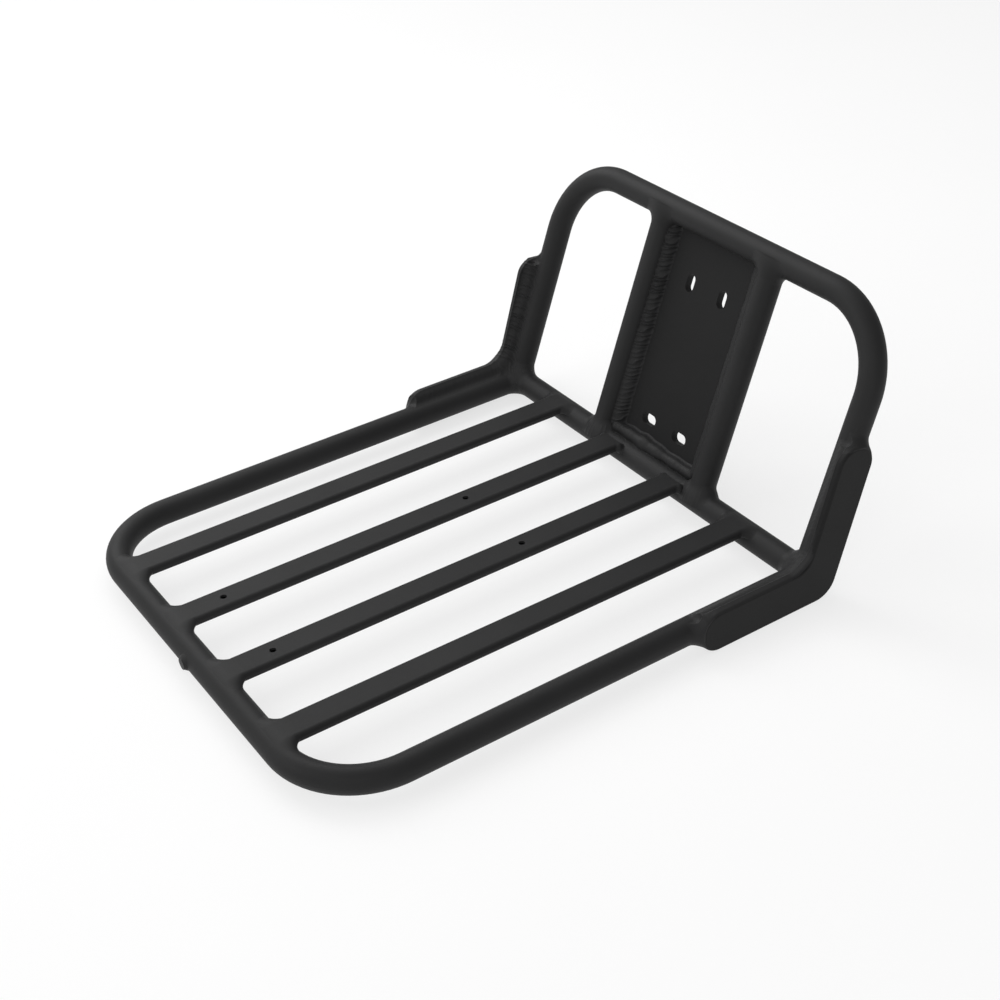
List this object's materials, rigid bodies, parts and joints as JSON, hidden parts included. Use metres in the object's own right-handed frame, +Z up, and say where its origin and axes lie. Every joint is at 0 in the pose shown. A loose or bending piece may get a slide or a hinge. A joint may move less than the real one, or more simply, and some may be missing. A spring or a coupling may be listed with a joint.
{
  "type": "bicycle front luggage rack",
  "caption": "Rigid welded front rack for a bicycle: a slatted deck, a leaning hoop behind it and a slotted plate that bolts to the head tube.",
  "frame": {"origin": "middle of the mounting plate's back face, the face that lies against the bicycle", "axes": "+Z up with the deck level, -Y forward along the deck, +X to the side, so that left is -X"},
  "size_m": [0.318, 0.3929, 0.169],
  "materials": {
    "powder_coat": "satin black powder coat on aluminium"
  },
  "bodies": {
    "root": {"deck_loop": "powder_coat", "rear_hoop": "powder_coat", "cross_tube": "powder_coat", "mount_plate": "powder_coat", "light_boss": "powder_coat", "post_left": "powder_coat", "post_right": "powder_coat", "gusset_left": "powder_coat", "gusset_right": "powder_coat", "slat_1": "powder_coat", "slat_2": "powder_coat", "slat_3": "powder_coat", "slat_4": "powder_coat", "weld_corner_left": "powder_coat", "weld_corner_right": "powder_coat", "weld_mitre_left": "powder_coat", "weld_mitre_right": "powder_coat", "weld_gusset_deck_left": "powder_coat", "weld_gusset_deck_right": "powder_coat", "weld_gusset_hoop_left": "powder_coat", "weld_gusset_hoop_right": "powder_coat", "weld_gusset_deck_end_left": "powder_coat", "weld_gusset_deck_end_right": "powder_coat", "weld_gusset_hoop_end_left": "powder_coat", "weld_gusset_hoop_end_right": "powder_coat", "weld_post_foot_left": "powder_coat", "weld_post_foot_right": "powder_coat", "weld_post_top_left": "powder_coat", "weld_post_top_right": "powder_coat", "weld_plate_left": "powder_coat", "weld_plate_right": "powder_coat", "weld_slat_front_1": "powder_coat", "weld_slat_rear_1": "powder_coat", "weld_slat_front_2": "powder_coat", "weld_slat_rear_2": "powder_coat", "weld_slat_front_3": "powder_coat", "weld_slat_rear_3": "powder_coat", "weld_slat_front_4": "powder_coat", "weld_slat_rear_4": "powder_coat", "weld_plate_foot": "powder_coat", "weld_boss": "powder_coat"}
  },
  "joints": []
}
